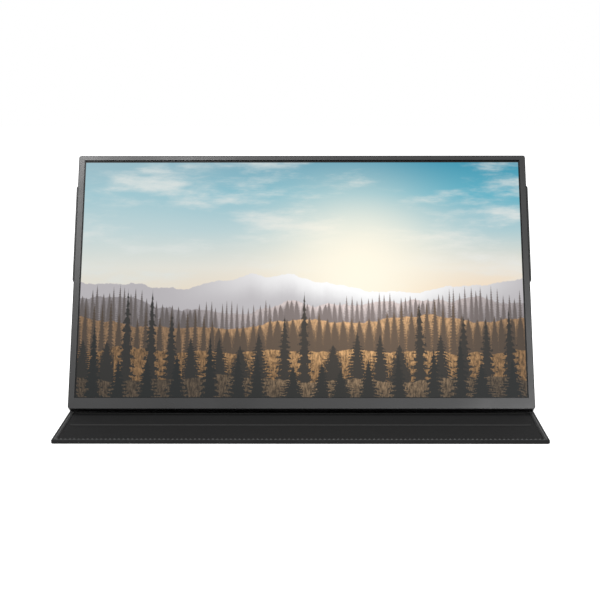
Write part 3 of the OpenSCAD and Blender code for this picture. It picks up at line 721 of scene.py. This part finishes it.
def ridge_height(tree, across, base, scale, amplitude, seed):
    """Height of a ridge line along the picture, from noise that varies across it alone."""
    line = add(tree, "ShaderNodeCombineXYZ", {"X": times(tree, across, scale), "Y": seed}).outputs[0]
    wave = minus(tree, noise(tree, line, 1.0, 6.0, 0.55), 0.5)
    return plus(tree, base, times(tree, wave, amplitude))


def chance(tree, cell, seed):
    """A random number for each whole number."""
    inputs = {"W": plus(tree, cell, seed)}
    return add(tree, "ShaderNodeTexWhiteNoise", inputs, noise_dimensions="1D").outputs["Value"]


def firs(tree, x, v, base, height, per_unit, seed, flat):
    """Mask of a row of fir trees that stand on the height base, in groups."""
    along = plus(tree, times(tree, x, per_unit), seed)
    cell = compute(tree, "FLOOR", along)
    size, lean = chance(tree, cell, seed), chance(tree, cell, seed + LEAN_SEED)
    line = add(tree, "ShaderNodeCombineXYZ", {"X": times(tree, cell, 3.1 / per_unit), "Y": seed}).outputs[0]
    grove = fade(tree, noise(tree, line, 1.0, 2.0), 0.42, 0.60, 0.30, 1.0)
    tall = times(tree, times(tree, grove, height), fade(tree, size, 0.0, 1.0, 0.45, 1.0))
    up = compute(tree, "DIVIDE", minus(tree, v, base), tall)
    middle = fade(tree, lean, 0.0, 1.0, -0.17, 0.17)
    aside = minus(tree, minus(tree, compute(tree, "FRACT", along), 0.5), middle)
    bough = compute(tree, "FRACT", times(tree, up, BOUGHS))
    ragged = noise(tree, flat, 9.0 * per_unit, 3.0, 0.7)
    width = times(tree, minus(tree, 1.02, up), fade(tree, bough, 0.0, 1.0, 0.34, 0.16))
    width = times(tree, width, fade(tree, ragged, 0.3, 0.7, 0.45, 1.3))
    return fade(tree, minus(tree, width, compute(tree, "ABSOLUTE", aside)), -0.012, 0.022)


def sky(tree, x, v, flat, from_sun):
    """Teal above, cream near the horizon, drawn-out cloud, haze at the left, and the sun's glow."""
    ramp = add(tree, "ShaderNodeValToRGB", {"Fac": v})
    set_stops(ramp, SKY)
    cloud = noise(tree, stretched(tree, flat, (1.2, 4.4, 1.0), 0.16), 1.7, 7, 0.6)
    cloudy = fade(tree, cloud, 0.46, 0.70, 0.0, 0.85)
    colour = blend_colours(tree, cloudy, ramp.outputs["Color"], CLOUD_TONE)
    colour = blend_colours(tree, fade(tree, x, 0.0, 0.8 * ASPECT, 0.45, 0.0), colour, HAZE_TONE)
    glow = compute(tree, "POWER", fade(tree, from_sun, 0.0, 0.75, 1.0, 0.0), 2.0)
    return blend_colours(tree, glow, colour, SUN_TONE)


def ridge_face(tree, below, light, turf, tone, texture):
    """The slope under a ridge line: its tone, warmer near a sunny crest, broken up by its turf."""
    lit = warmed(tone, 2.5, 0.09, (1.7, 1.05, 0.5))
    sunny = times(tree, light, fade(tree, below, 0.0, 0.12, 1.0, 0.2))
    face = blend_colours(tree, sunny, tone + (1,), lit)
    grain = fade(tree, turf, 0.34, 0.68, 1.0 - 0.72 * texture, 1.0 + 1.1 * texture)
    grain = add(tree, "ShaderNodeCombineXYZ", {0: grain, 1: grain, 2: grain}).outputs[0]
    return blend_colours(tree, 1.0, face, grain, "MULTIPLY")


def picture_material():
    """A generic landscape of hills and firs under a dawn sky, shown by the panel as light."""
    material, tree, shader = new_material("screen_picture", Base_Color=grey(0.004), Roughness=0.38,
                                          Specular_IOR_Level=0.12, Emission_Strength=1.0)
    points = place_of_points(tree)
    across, rise = reach_along(tree, points, X_AXIS), reach_along(tree, points, UP)
    x = plus(tree, compute(tree, "DIVIDE", across, PICTURE_H), ASPECT / 2)
    v = compute(tree, "DIVIDE", minus(tree, rise, PICTURE_LOW + SCREEN.origin.dot(UP)), PICTURE_H)
    flat = add(tree, "ShaderNodeCombineXYZ", {"X": x, "Y": v}).outputs[0]
    distance = add(tree, "ShaderNodeVectorMath", {0: flat, 1: SUN + (0.0,)}, operation="DISTANCE")
    from_sun = distance.outputs["Value"]
    colour = sky(tree, x, v, flat, from_sun)

    # Ridges from far to near, with firs on some of them
    rough = times(tree, minus(tree, noise(tree, flat, 26.0, 6, 0.65), 0.5), 0.02)
    turf = noise(tree, stretched(tree, flat, (3.4, 1.0, 1.0), 0.12), 40.0, 6, 0.72)
    light = fade(tree, from_sun, 0.05, 0.85, 1.0, 0.0)
    for index, (base, scale, amplitude, seed, tone, texture) in enumerate(RIDGES):
        top = ridge_height(tree, x, base, scale / ASPECT, amplitude, seed)
        below = minus(tree, plus(tree, top, rough), v)
        face = ridge_face(tree, below, light, turf, tone, texture)
        colour = blend_colours(tree, fade(tree, below, -0.0015, 0.0025), colour, face)
        for after, tall, per_unit, fir_seed, fir_tone in FIRS:
            if after == index:
                mask = firs(tree, x, v, minus(tree, top, FIR_FOOT), tall, per_unit, fir_seed, flat)
                warm = warmed(fir_tone, 3.2, 0.02, (1.6, 0.9, 0.4))
                fir = blend_colours(tree, times(tree, light, 0.55), fir_tone + (1,), warm)
                colour = blend_colours(tree, mask, colour, fir)
    tree.links.new(colour, shader.inputs["Emission Color"])
    return material


def set_stops(ramp, stops):
    """Puts colour stops on a ramp."""
    elements = ramp.color_ramp.elements
    while len(elements) < len(stops):
        elements.new(0.5)
    for element, (position, tone) in zip(elements, stops):
        element.position = position
        element.color = tone + (1,)


def build_picture():
    """The lit part of the display: a thin sheet on the cell's front."""
    front = SCREEN.depth("lcd_cell")[1]
    profile = [(0, front - PICTURE_SUNK), (0, front + PICTURE_EDGE), (PICTURE_EDGE, front + PICTURE_PROUD)]
    points, faces = stacked_slab(SCREEN, PICTURE_W, PICTURE_LOW, PICTURE_HIGH, PICTURE_CORNER_R, profile)
    picture = make_piece("screen_picture", points, faces, picture_material(), "monitor", smooth=False)


# ---- Stage, lights and camera ----

LENS_PX = 1687.7
IMAGE_PX = 600
SENSOR = 36.0
CAMERA_AT = Vector((12.16 * MM, -1281.2 * MM, 290.2 * MM))
CAMERA_DOWN = math.radians(8.994)
CAMERA_LEFT = math.radians(0.588)
CAMERA_ROLL = math.radians(-0.106)


def build_camera():
    """The camera at the product photo's viewing angle."""
    data = bpy.data.cameras.new("camera")
    data.sensor_width = SENSOR
    data.lens = LENS_PX / IMAGE_PX * SENSOR
    camera = bpy.data.objects.new("camera", data)
    bpy.context.scene.collection.objects.link(camera)
    turn = (Matrix.Rotation(CAMERA_LEFT, 4, "Z") @ Matrix.Rotation(math.pi / 2 - CAMERA_DOWN, 4, "X")
            @ Matrix.Rotation(CAMERA_ROLL, 4, "Z"))
    camera.matrix_world = Matrix.Translation(CAMERA_AT) @ turn
    bpy.context.scene.camera = camera


FLOOR_REACH = 4.0
FLOOR_TONE = (0.6, 0.6, 0.6, 1)
WHITE = (1, 1, 1, 1)
LAMP_TARGET = (0, -0.02, 0.08)
LAMPS = (
    # name, place, size, power in watts; the bezel mirrors the two narrow ones to the camera
    ("top", (0.0, 0.10, 1.5), (1.3, 0.9), 6),
    ("key_left", (-0.366, -0.97, 1.396), (0.5, 0.12), 8),
    ("fill_right", (0.42, -1.218, 1.04), (0.4, 0.12), 4.4),
)


def shown(tree):
    """1 for the rays that show the background: camera, glossy and transmission rays."""
    path = add(tree, "ShaderNodeLightPath")
    seen = compute(tree, "MAXIMUM", path.outputs["Is Camera Ray"], path.outputs["Is Glossy Ray"])
    return compute(tree, "MAXIMUM", seen, path.outputs["Is Transmission Ray"])


def show_apart(tree, lighting, showing, output):
    """Ends a tree in a mix of two shaders: one for rays that give light, one for rays that show the scene."""
    mix = add(tree, "ShaderNodeMixShader", {0: shown(tree), 1: lighting.outputs[0], 2: showing.outputs[0]})
    add(tree, output, {"Surface": mix.outputs[0]})


def build_world():
    """A white world that lights the object a little less than it shows."""
    world = bpy.data.worlds.new("studio")
    bpy.context.scene.world = world
    world.use_nodes = True
    tree = world.node_tree
    tree.nodes.clear()
    lit = add(tree, "ShaderNodeBackground", {"Color": WHITE, "Strength": 0.8})
    white = add(tree, "ShaderNodeBackground", {"Color": WHITE, "Strength": 1.0})
    show_apart(tree, lit, white, "ShaderNodeOutputWorld")


def build_floor():
    """A pale floor that shows almost white and keeps the object's shadow."""
    material = bpy.data.materials.new("pale_floor")
    material.use_nodes = True
    tree = material.node_tree
    tree.nodes.clear()
    pale = add(tree, "ShaderNodeBsdfDiffuse", {"Color": FLOOR_TONE})
    shine = add(tree, "ShaderNodeEmission", {"Color": WHITE, "Strength": 0.82})
    white = add(tree, "ShaderNodeAddShader", {0: pale.outputs[0], 1: shine.outputs[0]})
    show_apart(tree, pale, white, "ShaderNodeOutputMaterial")
    corners = [Vector((sx, sy, 0)) * FLOOR_REACH for sx, sy in ((-1, -1), (1, -1), (1, 1), (-1, 1))]
    make_piece("floor", corners, [(0, 1, 2, 3)], material, None, smooth=False)


def build_lights():
    """Soft studio light from rectangular boxes that face the object."""
    for name, place, size, power in LAMPS:
        data = bpy.data.lights.new(name, "AREA")
        data.shape = "RECTANGLE"
        data.size, data.size_y = size
        data.energy = power
        lamp = bpy.data.objects.new(name, data)
        lamp.location = place
        lamp.rotation_euler = (Vector(LAMP_TARGET) - Vector(place)).to_track_quat("-Z", "Y").to_euler()
        bpy.context.scene.collection.objects.link(lamp)


build_camera()
build_world()
build_floor()
build_lights()
dress_nodes()
build_cover()
build_picture()

bpy.context.scene.view_settings.view_transform = "Standard"
